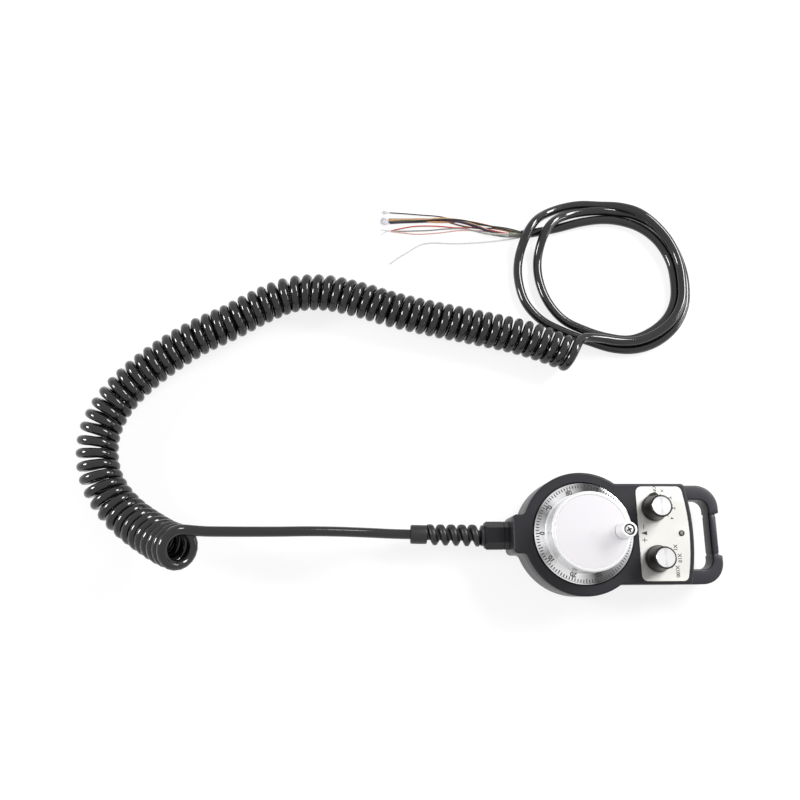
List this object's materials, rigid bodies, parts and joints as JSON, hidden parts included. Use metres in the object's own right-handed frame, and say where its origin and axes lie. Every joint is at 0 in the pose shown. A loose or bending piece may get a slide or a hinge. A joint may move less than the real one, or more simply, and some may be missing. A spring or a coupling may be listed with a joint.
{
  "type": "pulse generator handwheel",
  "caption": "Hand-held pulse generator pendant with a crank handwheel, selector knobs, a lamp, a carrying loop and a coiled cord with bare wire ends.",
  "frame": {"origin": "middle of the pendant's back face, halfway between the gland's cap nut and the carrying loop's end", "axes": "+X from the cord gland to the carrying loop, +Y to the pendant's left when its loop is up, +Z out of the front panel"},
  "size_m": [0.53, 0.3607, 0.0763],
  "materials": {
    "casing": "moulded ABS with a fine texture, charcoal",
    "cover": "moulded ABS with a fine texture, charcoal",
    "seal_rubber": "black rubber",
    "steel_screw": "zinc plated steel",
    "label": "off-white printed plate",
    "dark_metal": "blackened metal",
    "lamp_lens": "translucent lens, unlit",
    "encoder_plastic": "black glass-filled plastic",
    "bearing_steel": "ground steel",
    "circuit_board": "green circuit board",
    "chip_plastic": "black moulded plastic",
    "switch_plastic": "dark moulded plastic",
    "terminal_plastic": "light grey moulded plastic",
    "gland_nylon": "black nylon",
    "relief_rubber": "black thermoplastic rubber",
    "cord_jacket": "glossy black polyurethane jacket",
    "wire_insulation": "coloured wire insulation",
    "code_glass": "etched metal code disc",
    "turned_aluminium": "turned and satin anodised",
    "polished_face": "polished face",
    "washer_nylon": "natural nylon",
    "crank_aluminium": "turned aluminium",
    "knob_plastic": "black moulded plastic",
    "cap_aluminium": "spun aluminium cap"
  },
  "bodies": {
    "pendant": {"back_casing": "casing", "front_cover": "cover", "cover_seal": "seal_rubber", "housing_screws": "steel_screw", "label_plate": "label", "lamp_bezel": "dark_metal", "lamp": "lamp_lens", "encoder_body": "encoder_plastic", "encoder_cap": "encoder_plastic", "encoder_screws": "steel_screw", "front_bearing": "bearing_steel", "rear_bearing": "bearing_steel", "encoder_board": "circuit_board", "encoder_sensor": "chip_plastic", "axis_switch": "switch_plastic", "axis_switch_nut": "steel_screw", "multiplier_switch": "switch_plastic", "multiplier_switch_nut": "steel_screw", "terminal_board": "circuit_board", "board_screws": "steel_screw", "terminal_blocks": "terminal_plastic", "gland_body": "gland_nylon", "gland_locknut": "gland_nylon", "gland_seal": "seal_rubber", "gland_cap_nut": "gland_nylon", "strain_relief": "relief_rubber", "inner_cord": "cord_jacket", "cord_clamp": "steel_screw", "clamp_screws": "steel_screw", "core_wires": "wire_insulation", "cord_lead": "cord_jacket", "cord_coil": "cord_jacket", "cord_tail": "cord_jacket", "stripped_wires": "wire_insulation"},
    "wheel": {"encoder_shaft": "bearing_steel", "code_disc": "code_glass", "handwheel": "turned_aluminium", "wheel_face": "polished_face", "hub_screw": "steel_screw", "crank_washer": "washer_nylon", "crank_screw": "steel_screw"},
    "crank": {"crank_knob": "crank_aluminium"},
    "axis_selector": {"axis_stem": "bearing_steel", "axis_knob": "knob_plastic", "axis_cap": "cap_aluminium"},
    "multiplier_selector": {"multiplier_stem": "bearing_steel", "multiplier_knob": "knob_plastic", "multiplier_cap": "cap_aluminium"}
  },
  "joints": [
    {"name": "wheel_turn", "type": "hinge", "parent": "pendant", "child": "wheel", "pos_m": [-0.02, 0, 0.05], "axis": [0, 0, 1], "continuous": true},
    {"name": "crank_spin", "type": "hinge", "parent": "wheel", "child": "crank", "pos_m": [0.0046, 0, 0.068], "axis": [0, 0, 1], "continuous": true},
    {"name": "axis_select", "type": "hinge", "parent": "pendant", "child": "axis_selector", "pos_m": [0.0385, 0.02, 0.05], "axis": [0, 0, 1], "range_deg": [-120, 0]},
    {"name": "multiplier_select", "type": "hinge", "parent": "pendant", "child": "multiplier_selector", "pos_m": [0.0385, -0.02, 0.05], "axis": [0, 0, 1], "range_deg": [-60, 0]}
  ]
}
